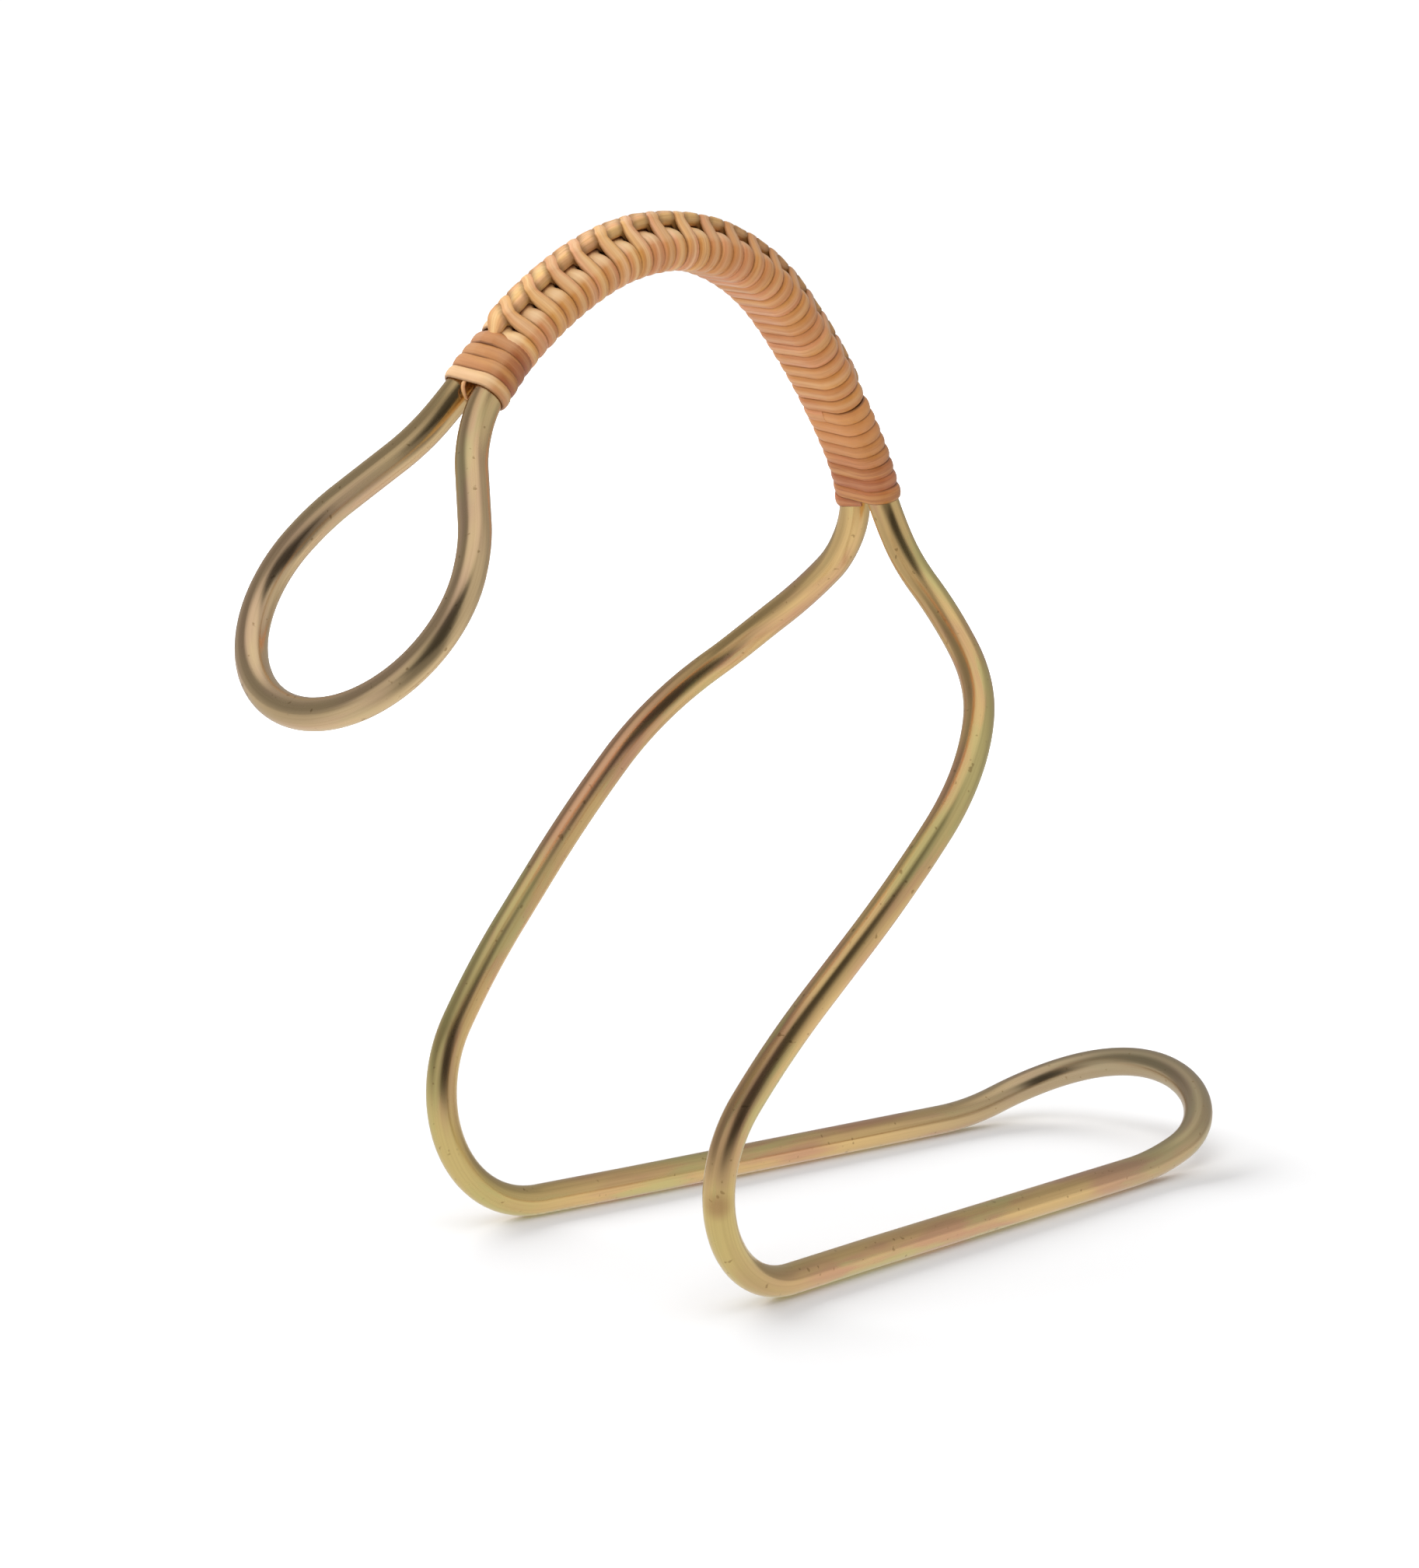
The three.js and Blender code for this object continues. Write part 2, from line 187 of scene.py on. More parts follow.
def rod_place(length, side):
    """Centre of the rod and the profile's normal there, on the side of the given sign."""
    flat = pattern.at(length)[0]
    point, _, normal = spine(flat.x)
    point.y = side * flat.y
    return point, normal


print("nose at", [round(v, 1) for v in rod_place(0, 1)[0]],
      "heel at", [round(v, 1) for v in rod_place(pattern.length, 1)[0]])

# %% [markdown]
# ## One tree that sweeps a section along a path
# Rod, strands and runner are all the same kind of thing: one section carried along one path. A
# geometry node tree does that once for all of them. The path comes in as a chain of vertices with
# four attributes: the way that the outer face looks, a swell that fattens or thins the section, a
# painted highlight on the top of each turn, and the length run so far. Curve to Mesh does the sweep.
# The tree also writes each point's place on the section, and its place on the piece as if that were
# laid out straight. The finishes use those two to run their grain lengthwise and to find the middle
# and the edges of a strand, where the cane finishes paint a highlight and shade.

# %% Small helpers for node trees
def add_node(tree, kind, **settings):
    node = tree.nodes.new(kind)
    for name, value in settings.items():
        setattr(node, name, value)
    return node


def feed(tree, target, value):
    """Links a socket to the target, or sets a plain value on it."""
    if isinstance(value, bpy.types.NodeSocket):
        tree.links.new(value, target)
    else:
        target.default_value = value


def feed_all(tree, node, **values):
    """Feeds inputs by name, with _ for a space in a name, and gives the outputs of the node."""
    for name, value in values.items():
        feed(tree, node.inputs[name.replace("_", " ")], value)
    return node.outputs


def vector_math(tree, operation, *values):
    node = add_node(tree, "ShaderNodeVectorMath", operation=operation)
    for target, value in zip(node.inputs, values):
        feed(tree, target, value)
    return node.outputs["Value" if operation in ("DOT_PRODUCT", "DISTANCE") else "Vector"]


def combined(tree, **parts):
    return feed_all(tree, add_node(tree, "ShaderNodeCombineXYZ"), **parts)["Vector"]


def separated(tree, vector):
    return feed_all(tree, add_node(tree, "ShaderNodeSeparateXYZ"), Vector=vector)


def socket(tree, name, in_out, kind, default=None):
    made = tree.interface.new_socket(name=name, in_out=in_out, socket_type=kind)
    if default is not None:
        made.default_value = default


print("helpers ready for Blender", bpy.app.version_string)

# %% Read and keep attributes in a geometry tree
VECTOR_HALF = (0.5, 0.5, 0.5)


def named_attribute(tree, name, data_type="FLOAT"):
    node = add_node(tree, "GeometryNodeInputNamedAttribute", data_type=data_type)
    return feed_all(tree, node, Name=name)["Attribute"]


def with_vector(tree, geometry, name, value):
    """The geometry with a vector kept on each of its points."""
    node = add_node(tree, "GeometryNodeStoreNamedAttribute", data_type="FLOAT_VECTOR", domain="POINT")
    return feed_all(tree, node, Geometry=geometry, Name=name, Value=value)["Geometry"]


def build_section(tree, given, sizes):
    """A circle squeezed to the section's thickness and width.

    A roundness below 1 pulls it towards a rectangle: each coordinate keeps its sign and is raised to
    that power. A dome moves some of the thickness from the inner half to the outer half.
    """
    circle = feed_all(tree, add_node(tree, "GeometryNodeCurvePrimitiveCircle"),
                      Resolution=given["Facets"], Radius=1.0)["Curve"]
    place = add_node(tree, "GeometryNodeInputPosition").outputs["Position"]
    sign = vector_math(tree, "SIGN", place)
    size = vector_math(tree, "POWER", vector_math(tree, "ABSOLUTE", place), given["Roundness"])
    on_section = vector_math(tree, "MULTIPLY", size, sign)
    halves = vector_math(tree, "MULTIPLY_ADD", sign, combined(tree, X=given["Dome"]), VECTOR_HALF)
    half_sizes = vector_math(tree, "MULTIPLY", halves, sizes)
    return feed_all(tree, add_node(tree, "GeometryNodeSetPosition"),
                    Geometry=with_vector(tree, circle, "section", on_section),
                    Position=vector_math(tree, "MULTIPLY", on_section, half_sizes))["Geometry"]


print("a section keeps its places from -1 to 1 under the name section")


# %% Build the sweeping tree
def build_sweep_tree():
    tree = bpy.data.node_groups.new("sweep a section along a path", "GeometryNodeTree")
    for name, kind, default in (
            ("Path", "Geometry", None), ("Width", "Float", 0.006), ("Thickness", "Float", 0.006),
            ("Facets", "Int", 12), ("Roundness", "Float", 1.0), ("Dome", "Float", 0.0),
            ("Close Ends", "Bool", True), ("Finish", "Material", None)):
        socket(tree, name, "INPUT", "NodeSocket" + kind, default)
    socket(tree, "Piece", "OUTPUT", "NodeSocketGeometry")
    given = add_node(tree, "NodeGroupInput").outputs
    sizes = combined(tree, X=given["Thickness"], Y=given["Width"])

    path = feed_all(tree, add_node(tree, "GeometryNodeMeshToCurve"), Mesh=given["Path"])["Curve"]
    path = feed_all(tree, add_node(tree, "GeometryNodeSetCurveNormal", mode="FREE"), Curve=path,
                    Normal=named_attribute(tree, "outer_face", "FLOAT_VECTOR"))["Curve"]
    swept = feed_all(tree, add_node(tree, "GeometryNodeCurveToMesh"), Curve=path,
                     Profile_Curve=build_section(tree, given, sizes),
                     Scale=named_attribute(tree, "swell"), Fill_Caps=given["Close Ends"])["Mesh"]

    # Lay each point out straight: the length run, its place across, and its place through.
    on_section = named_attribute(tree, "section", "FLOAT_VECTOR")
    half_sizes = vector_math(tree, "MULTIPLY", sizes, VECTOR_HALF)
    off_middle = separated(tree, vector_math(tree, "MULTIPLY", on_section, half_sizes))
    laid_out = combined(tree, X=named_attribute(tree, "run"), Y=off_middle["Y"], Z=off_middle["X"])
    piece = with_vector(tree, swept, "laid_out", laid_out)
    for kind in ("GeometryNodeSetShadeSmooth", "GeometryNodeRealizeInstances"):
        piece = feed_all(tree, add_node(tree, kind), Geometry=piece)["Geometry"]
    piece = feed_all(tree, add_node(tree, "GeometryNodeSetMaterial"), Geometry=piece,
                     Material=given["Finish"])["Geometry"]
    feed_all(tree, add_node(tree, "NodeGroupOutput"), Piece=piece)
    return tree


sweep_tree = build_sweep_tree()
print("sweeping tree:", len(sweep_tree.nodes), "nodes")

# %% Lay a path and sweep it
# The last field of a stop is a painted highlight on the top of a turn of strand.
Stop = namedtuple("Stop", "point outer_face swell rubbed", defaults=(0.0,))
CUBIC_CM = 1e6


def bake(piece):
    """Turns the evaluated piece into a plain mesh and removes its modifiers."""
    graph = bpy.context.evaluated_depsgraph_get()
    mesh = bpy.data.meshes.new_from_object(piece.evaluated_get(graph), depsgraph=graph)
    piece.modifiers.clear()
    piece.data = mesh


def volume_of(mesh):
    """Signed volume in cubic centimetres: positive if the faces look outwards."""
    mesh.calc_loop_triangles()
    total = 0.0
    for triangle in mesh.loop_triangles:
        a, b, c = (mesh.vertices[i].co for i in triangle.vertices)
        total += a.dot(b.cross(c)) / 6
    return total * CUBIC_CM


def runs_of(stops):
    """Length from the first stop to each stop."""
    runs = [0.0]
    for before, stop in zip(stops, stops[1:]):
        runs.append(runs[-1] + (stop.point - before.point).length)
    return runs


def sweep_piece(name, stops, width, thickness, facets, finish, ring=False, roundness=1.0, dome=0.0):
    """A piece swept along its stops. A ring closes on itself."""
    mesh = bpy.data.meshes.new(name)
    edges = [(i, i + 1) for i in range(len(stops) - 1)] + ([(len(stops) - 1, 0)] if ring else [])
    mesh.from_pydata([stop.point * MM for stop in stops], edges, [])
    outer = mesh.attributes.new("outer_face", "FLOAT_VECTOR", "POINT")
    outer.data.foreach_set("vector", [v for stop in stops for v in stop.outer_face])
    for attribute, values in (("swell", [stop.swell for stop in stops]),
                              ("rubbed", [stop.rubbed for stop in stops]),
                              ("run", [run * MM for run in runs_of(stops)])):
        mesh.attributes.new(attribute, "FLOAT", "POINT").data.foreach_set("value", values)

    piece = bpy.data.objects.new(name, mesh)
    bpy.context.scene.collection.objects.link(piece)
    modifier = piece.modifiers.new("sweep", "NODES")
    modifier.node_group = sweep_tree
    values = {"Width": width * MM, "Thickness": thickness * MM, "Facets": facets,
              "Roundness": roundness, "Dome": dome, "Close Ends": not ring, "Finish": finish}
    for item in sweep_tree.interface.items_tree:
        if item.in_out == "INPUT" and item.name in values:
            modifier[item.identifier] = values[item.name]
    bake(piece)
    mesh = piece.data
    print(f"{name}: {runs_of(stops)[-1]:.0f} mm long, {len(mesh.polygons)} faces, {volume_of(mesh):.2f} cm3")
    return piece


print("a stop on a path holds", ", ".join(Stop._fields))

# %% [markdown]
# ## Grain, painted highlight and painted shade that several finishes share
# Cane splits lengthwise, so every cane finish shows fine fibres along the strand, a tone that drifts
# from turn to turn and a blush in longer patches. Over that grain it gets a painted highlight down the
# strand's middle and painted shade at its edges, in the grooves where turns meet. One shader group
# makes them all as plain masks, and each finish mixes its own colours with them. Noise on the laid-out
# place stays lengthwise round every bend, which noise in space wouldn't.

# %% Masks
def laid_out_noise(tree, cells, detail, roughness=0.5, scale=1.0):
    """Noise with so many cells to the metre along, across and through the piece, times the scale."""
    place = add_node(tree, "ShaderNodeAttribute", attribute_name="laid_out").outputs["Vector"]
    return feed_all(tree, add_node(tree, "ShaderNodeTexNoise"),
                    Vector=vector_math(tree, "MULTIPLY", place, cells),
                    Scale=scale, Detail=detail, Roughness=roughness)["Fac"]


def spread(tree, value, low, high):
    """Spreads a value between low and high over 0 to 1, with a soft start and end."""
    node = add_node(tree, "ShaderNodeMapRange", interpolation_type="SMOOTHSTEP")
    return feed_all(tree, node, Value=value, From_Min=low, From_Max=high)["Result"]


def scaled(tree, value, factor, offset=0.0):
    """A value times a factor, plus an offset."""
    node = add_node(tree, "ShaderNodeMath", operation="MULTIPLY_ADD")
    for target, given in zip(node.inputs, (value, factor, offset)):
        feed(tree, target, given)
    return node.outputs["Value"]


print("masks run from 0 to 1")


# %% Cane grain, painted highlight and painted shade group
def build_cane_grain_and_shading():
    tree = bpy.data.node_groups.new("cane grain", "ShaderNodeTree")
    socket(tree, "Fibre Depth", "INPUT", "NodeSocketFloat", 0.5)
    given = add_node(tree, "NodeGroupInput").outputs

    fibres = laid_out_noise(tree, (75, 1500, 1500), 3, 0.65)
    tone = laid_out_noise(tree, (42, 260, 260), 2)
    blush = laid_out_noise(tree, (11, 60, 60), 1, scale=1.7)
    on_section = add_node(tree, "ShaderNodeAttribute", attribute_name="section").outputs["Vector"]
    off_middle = separated(tree, vector_math(tree, "ABSOLUTE", on_section))["Y"]
    masks = {
        "Fibres": spread(tree, fibres, 0.35, 0.68),
        "Tone": spread(tree, tone, 0.4, 0.6),
        "Blush": spread(tree, blush, 0.35, 0.65),
        # The middle of a strand gets a painted highlight, and its edges painted shade where turns meet.
        "Crown": spread(tree, off_middle, 0.6, 0.05),
        "Groove": spread(tree, off_middle, 0.7, 1.0),
        "Height": scaled(tree, fibres, given["Fibre Depth"]),
    }
    for name in masks:
        socket(tree, name, "OUTPUT", "NodeSocketFloat")
    feed_all(tree, add_node(tree, "NodeGroupOutput"), **masks)
    return tree


cane_grain_and_shading = build_cane_grain_and_shading()
print("cane grain:", [item.name for item in cane_grain_and_shading.interface.items_tree])


# %% Mixing colours
def colour(hex_code):
    """A colour written as on screen, turned into the linear values that sockets hold."""
    parts = [int(hex_code[i:i + 2], 16) / 255 for i in (0, 2, 4)]
    return (*[v / 12.92 if v <= 0.04045 else ((v + 0.055) / 1.055) ** 2.4 for v in parts], 1.0)


def grey(tone):
    return (tone, tone, tone, 1.0)


def blend(tree, mask, below, above):
    """Mixes two colours, each a socket or a plain value, by a mask."""
    node = add_node(tree, "ShaderNodeMix", data_type="RGBA")
    feed(tree, node.inputs["Factor"], mask)
    for name, value in (("A", below), ("B", above)):
        feed(tree, next(s for s in node.inputs if s.name == name and s.type == "RGBA"), value)
    return next(s for s in node.outputs if s.type == "RGBA")


def painted(tree, body, layers):
    """Lays colours over a body colour: each layer is a mask, the share of it that covers, a colour."""
    for mask, share, paint in layers:
        body = blend(tree, scaled(tree, mask, share), body, colour(paint))
    return body


def bumped(tree, height, strength, distance):
    """The surface normal with a height bumped into it, its distance in millimetres."""
    return feed_all(tree, add_node(tree, "ShaderNodeBump"), Height=height, Strength=strength,
                    Distance=distance * MM)["Normal"]


def new_finish(name):
    material = bpy.data.materials.new(name)
    material.use_nodes = True
    return material, material.node_tree, material.node_tree.nodes["Principled BSDF"]


print("mid grey 808080 is", round(colour("808080")[0], 3), "in linear light")

# %% [markdown]
# ## Cane finishes
# The strand is peeled cane: a glossy skin outside, tan to reddish. Its finishes paint shade into the
# grooves where turns meet and round each over-turn on the runner, and paint a highlight down the
# middle of the strand and on the top of each turn. The bands at both ends are redder, the very first
# turn is paler, and the runner is straw yellow. Along the handle the woven strand darkens towards the
# legs, and the leg band is paler where it starts, so two finishes drift along their run.
# All five are the same recipe with other colours, so one function makes them all.

# %% The recipe of a cane finish
# The fourth colour is a painted highlight, and the fifth is painted shade.
Shades = namedtuple("Shades", "main tint deep crown dirt")
Drift = namedtuple("Drift", "none_at full_at share towards")
FIBRE_BUMP, FIBRE_HEIGHT = 0.6, 0.4
FIBRE_ROUGHNESS = 0.16
SKIN_COAT, SKIN_ROUGHNESS = 0.45, 0.22


def cane_finish(name, shades, grooved, roughness, drift=None):
    """Cane in its shades, with painted shade in the grooves to a share. A drift is laid along its run in
    metres.
    """
    material, tree, shader = new_finish(name)
    grain = add_node(tree, "ShaderNodeGroup", node_tree=cane_grain_and_shading).outputs
    rubbed, pressed = (add_node(tree, "ShaderNodeAttribute", attribute_name=attribute).outputs["Fac"]
                       for attribute in ("rubbed", "pressed"))
    # Painted highlights down the middle of each strand and on the top of each turn.
    layers = [(grain["Blush"], 0.6, shades.deep), (grain["Crown"], 0.35, shades.crown),
              (grain["Fibres"], 0.55, shades.deep), (rubbed, 0.55, shades.crown)]
    if drift:
        place = add_node(tree, "ShaderNodeAttribute", attribute_name="laid_out").outputs["Vector"]
        along = spread(tree, separated(tree, place)["X"], drift.none_at, drift.full_at)
        layers.append((along, drift.share, drift.towards))
    # Painted shade at the strand's edges where turns meet, and round each over-turn on the runner.
    layers += [(grain["Groove"], grooved, shades.dirt), (pressed, 0.65, shades.dirt)]
    skin = blend(tree, grain["Tone"], colour(shades.main), colour(shades.tint))
    feed_all(tree, shader, Base_Color=painted(tree, skin, layers),
             Roughness=scaled(tree, grain["Fibres"], FIBRE_ROUGHNESS, roughness),
             Normal=bumped(tree, grain["Height"], FIBRE_BUMP, FIBRE_HEIGHT),
             Coat_Weight=SKIN_COAT, Coat_Roughness=SKIN_ROUGHNESS)
    print(f"{name}: {len(tree.nodes)} nodes")
    return material


# %% Make the cane finishes
woven_cane = cane_finish("woven cane", Shades("eeb05b", "f5ad7b", "c0722d", "fbdba8", "855220"),
                         grooved=0.72, roughness=0.36, drift=Drift(0.45, 0.80, 0.40, "c47430"))
neck_cane = cane_finish("neck cane", Shades("c6863d", "c07340", "984e20", "d09760", "62350e"),
                        grooved=0.80, roughness=0.36)
leg_cane = cane_finish("leg cane", Shades("ce8b40", "c87844", "9e5122", "d89c66", "66370f"),
                       grooved=0.80, roughness=0.36, drift=Drift(0.18, 0.05, 0.62, "e49c50"))
pale_cane = cane_finish("pale cane", Shades("e2ac6c", "e0a074", "c08444", "f0cc9c", "80501f"),
                        grooved=0.60, roughness=0.40)
runner_cane = cane_finish("runner cane", Shades("fccc82", "f4b680", "c88e46", "ffe0a8", "80541f"),
                          grooved=0.30, roughness=0.40)

# %% [markdown]
# ## Plated steel
# Yellow bronze plating is a thin film, so its colour drifts with its thickness: gold along most of
# the rod, pinkish here, greenish there, mostly in long patches. The front bends of the foot are
# greener, one of them has a brown stain, and the neck ring and the heel are duller. Drawing marks run
# lengthwise under the film, and a few specks sit in it. The metal is smooth enough to mirror the
# studio, with a little haze.

# %% Places with a look of their own
Zone = namedtuple("Zone", "centre radius share paint")
ZONE_CORE = 0.15
FRONT_BENDS = [Zone((-45.8, across, 14.0), 36.0, 0.55, "c2b674") for across in (-36.0, 36.0)]
STAIN = Zone((-51.1, -39.1, 22.5), 3.8, 0.75, "b08a60")
DULL_RING = Zone((-106.0, 0.0, 132.0), 66.0, 0.62, "e0caa8")
DULL_HEEL = Zone((115.0, 0.0, 18.0), 70.0, 0.80, "b9a88e")
DULL_ZONES = [DULL_RING, DULL_HEEL]


def near(tree, centre, radius):
    """1 at a place on the object, falling to 0 at the radius."""
    place = add_node(tree, "ShaderNodeTexCoord").outputs["Object"]
    gap = vector_math(tree, "DISTANCE", place, Vector(centre) * MM)
    return spread(tree, gap, radius * MM, radius * MM * ZONE_CORE)


print("zones on the rod:", len(FRONT_BENDS) + len(DULL_ZONES) + 1)

# %% Make the plating
DRAWN_BUMP, DRAWN_HEIGHT = 0.12, 0.1
SMOOTH_ROUGHNESS, FILM_ROUGHNESS, DULL_ROUGHNESS = 0.20, 0.10, 0.04


def plated_steel():
    material, tree, shader = new_finish("bronze plating")
    patches = laid_out_noise(tree, (38, 190, 190), 2)
    film = laid_out_noise(tree, (22, 130, 130), 3, 0.6, scale=1.3)
    drawn = laid_out_noise(tree, (25, 2200, 2200), 2, 0.7)
    specks = laid_out_noise(tree, (700, 700, 700), 1)

    haze = scaled(tree, spread(tree, film, 0.3, 0.7), FILM_ROUGHNESS, SMOOTH_ROUGHNESS)
    layers = [(spread(tree, film, 0.5, 0.68), 0.8, "d8cc8a")]
    for zone in [*FRONT_BENDS, STAIN, *DULL_ZONES]:
        mask = near(tree, zone.centre, zone.radius)
        layers.append((mask, zone.share, zone.paint))
        if zone in DULL_ZONES:
            haze = scaled(tree, mask, DULL_ROUGHNESS * zone.share, haze)
    layers += [(spread(tree, drawn, 0.35, 0.75), 0.16, "a08450"),
               (spread(tree, specks, 0.69, 0.76), 0.5, "8a6a3c")]
    gold = blend(tree, spread(tree, patches, 0.42, 0.66), colour("e8c488"), colour("dcac86"))
    feed_all(tree, shader, Base_Color=painted(tree, gold, layers), Roughness=haze, Metallic=1.0,
             Normal=bumped(tree, drawn, DRAWN_BUMP, DRAWN_HEIGHT))
    print("bronze plating:", len(tree.nodes), "nodes")
    return material


bronze_plating = plated_steel()

# %% [markdown]
# ## The rod
# The holder has no end of rod to be seen: the two ends meet under the wrap. So the visible rod is one
# closed ring swept round the whole path, and it starts under the wrap too. Bends get more stops than
# straights, which keeps them round without spending faces where nothing turns.

# %% Sweep the rod
FINE_STEP, COARSE_STEP = 1.2, 3.0
LOOK_AHEAD = 2.0
NO_LENGTH = 1e-6
STRAIGHT_WITHIN = 0.012
HIDDEN_STATION = 143.0
ROD_FACETS = 32


def bends_after(length):
    """Whether the rod turns within the next two looks ahead, or ends there."""
    a, b, c = (rod_place(min(length + LOOK_AHEAD * k, pattern.length), 1)[0] for k in range(3))
    if (c - b).length < NO_LENGTH:
        return True
    return (b - a).angle(c - b, 0.0) > STRAIGHT_WITHIN


lengths = [0.0]
while lengths[-1] < pattern.length:
    ahead = lengths[-1] + (FINE_STEP if bends_after(lengths[-1]) else COARSE_STEP)
    lengths.append(min(ahead, pattern.length))

loop = [rod_place(length, 1) for length in lengths] + [rod_place(length, -1) for length in lengths[-2:0:-1]]
hidden_length = length_at(HIDDEN_STATION)
hidden = min(range(len(lengths)), key=lambda i: abs(lengths[i] - hidden_length))
stops = [Stop(point, normal, 1.0) for point, normal in loop[hidden:] + loop[:hidden]]
rod = sweep_piece("plated_rod", stops, ROD_DIAMETER, ROD_DIAMETER, ROD_FACETS, bronze_plating, ring=True)

# %% [markdown]
# ## The cane strand
# The strand goes round both runs of rod. In the bands at both ends it climbs evenly, and in the woven
# stretch it stays square to the handle underneath and leans as it crosses the top. There every second
# turn climbs over the runner, a thicker strip on top, and the turns between go under it. A taut strand
# takes the shortest way round what it holds, so a turn is drawn as a string round circles: one circle
# for each run of rod, and two small ones for the runner's shoulders. Lifting those two raises the turn
# smoothly, which also serves for the turns that only cover the runner's tucked ends.

# %% A taut string round circles
ARC_STEP = math.radians(15)
STRAIGHT_STEP = 1.6
SAME_PLACE = 1e-3
UNDER_FIRST, UNDER_LAST = math.radians(270), math.radians(-90)


def string_round(circles):
    """Places and outward angles of a taut string, from under the first circle to under the last."""
    angles = [UNDER_FIRST]
    for (centre, radius), (next_centre, next_radius) in zip(circles, circles[1:]):
        way = next_centre - centre
        angles.append(math.atan2(way.y, way.x) + math.acos((radius - next_radius) / way.length))
    angles.append(UNDER_LAST)
    points = []
    for (centre, radius), start, end in zip(circles, angles, angles[1:]):
        steps = max(1, math.ceil((start - end) / ARC_STEP))
        for k in range(steps + 1):
            angle = start - (start - end) * k / steps
            points.append((centre + radius * Vector((math.cos(angle), math.sin(angle))), angle))
    return points


def spaced(points):
    """The same string with more points on its straight stretches and no point twice."""
    kept = [points[0]]
    for place, angle in points[1:]:
        before = kept[-1][0]
        span = (place - before).length
        if span < SAME_PLACE:
            kept[-1] = (before, angle)
            continue
        pieces = math.ceil(span / STRAIGHT_STEP)
        kept += [(before.lerp(place, k / pieces), angle) for k in range(1, pieces + 1)]
    return kept


print("a string round one circle has", len(string_round([(Vector((0, 0)), 3.0)])), "points")

# %% A taut turn round the rods and over the runner
TurnPoint = namedtuple("TurnPoint", "share across up angle")
STRAND_THICKNESS = 1.0
STRAND_WIDTH = 3.3
STRAND_DOME = 0.18
STRAND_CLEARANCE = 0.02
WRAP_RADIUS = ROD_RADIUS + STRAND_CLEARANCE + STRAND_THICKNESS * (0.5 - STRAND_DOME)
SHOULDER_RADIUS = 1.25
SHOULDER_HALF_WIDTH = 1.35
CROWN_HEIGHT = 6.2


def taut_turn(half_width, lift):
    """Points of a turn, from under the handle's middle round by the right run of rod."""
    flat_top = WRAP_RADIUS - SHOULDER_RADIUS
    shoulder = flat_top + lift * (CROWN_HEIGHT - SHOULDER_RADIUS - flat_top)
    circles = [(Vector((-half_width, 0)), WRAP_RADIUS),
               (Vector((-SHOULDER_HALF_WIDTH, shoulder)), SHOULDER_RADIUS),
               (Vector((SHOULDER_HALF_WIDTH, shoulder)), SHOULDER_RADIUS),
               (Vector((half_width, 0)), WRAP_RADIUS)]
    under = Vector((0, -WRAP_RADIUS))
    string = spaced([(under, UNDER_FIRST), *string_round(circles), (under, UNDER_LAST)])
    runs = [0.0]
    for (before, _), (place, _) in zip(string, string[1:]):
        runs.append(runs[-1] + (place - before).length)
    return [TurnPoint(run / runs[-1], place.x, place.y, angle) for run, (place, angle) in zip(runs, string)]


print("a flat turn has", len(taut_turn(HANDLE_HALF_WIDTH, 0.0)), "points, one over the runner",
      len(taut_turn(HANDLE_HALF_WIDTH, 1.0)))

# %% Plan the turns along the handle: a lift of 0 lies on the rods, and 1 goes over the runner
Turn = namedtuple("Turn", "start pitch lift")
WRAP_START = 67.2
END_PITCH = 2.4
NECK_PITCH, NECK_LIFTS = 2.6, [0.03, 0.12, 0.25]
WOVEN_PITCH, WOVEN_TURNS = 2.967, 35
LEG_PITCH, LEG_LIFTS = 2.72, [0.3] + [0.0] * 7


def plan(start, lifts, pitch):
    return [Turn(start + pitch * i, pitch, lift) for i, lift in enumerate(lifts)]


end_turn = plan(WRAP_START, [0.0], END_PITCH)
neck_turns = plan(WRAP_START + END_PITCH, NECK_LIFTS, NECK_PITCH)
woven_start = neck_turns[-1].start + NECK_PITCH
woven_turns = plan(woven_start, [float(i % 2) for i in range(WOVEN_TURNS)], WOVEN_PITCH)
leg_start = woven_turns[-1].start + WOVEN_PITCH
leg_turns = plan(leg_start, LEG_LIFTS, LEG_PITCH)
print(f"woven from {woven_start:.1f} to {leg_start:.1f}, bound to {leg_turns[-1].start + LEG_PITCH:.1f} mm")

# %% How a turn leans, wanders and narrows
LEAN_FROM, LEAN_TO = -3.1, 1.9
WANDER, WANDER_SPAN, WANDER_SEED = 0.2, 4.3, (7.1, 0.0)
UNEVEN, UNEVEN_SPAN, UNEVEN_SEED = 0.06, 1.9, (0.0, 3.3)
CLIMB_START = WRAP_RADIUS + 0.4
PINCH = 0.26
# The painted highlight on top of a turn: full and gone in degrees off straight up, and less on a crossing.
HIGHLIGHT_FULL, HIGHLIGHT_GONE = 30, 60
HIGHLIGHT_LESS = 0.6


def eased(value, low, high):
    """0 below low, 1 above high, and a soft rise between."""
    share = min(1.0, max(0.0, (value - low) / (high - low)))
    return share * share * (3 - 2 * share)


def unevenness(place, span, seed):
    """A slow random number between about -1 and 1, the same on every run."""
    return noise.noise(Vector((place / span, *seed)))


def gained(at, woven):
    """Share of its pitch that a turn has gained: plain turns all the way round, woven ones on top."""
    if not woven:
        return at.share
    if at.up > 0:
        return eased(at.across, LEAN_FROM, LEAN_TO)
    return 0.0 if at.share < 0.5 else 1.0


print("half way over the top a woven turn has gained", round(gained(TurnPoint(0.5, 0.0, 1.0, 0.0), True), 2))


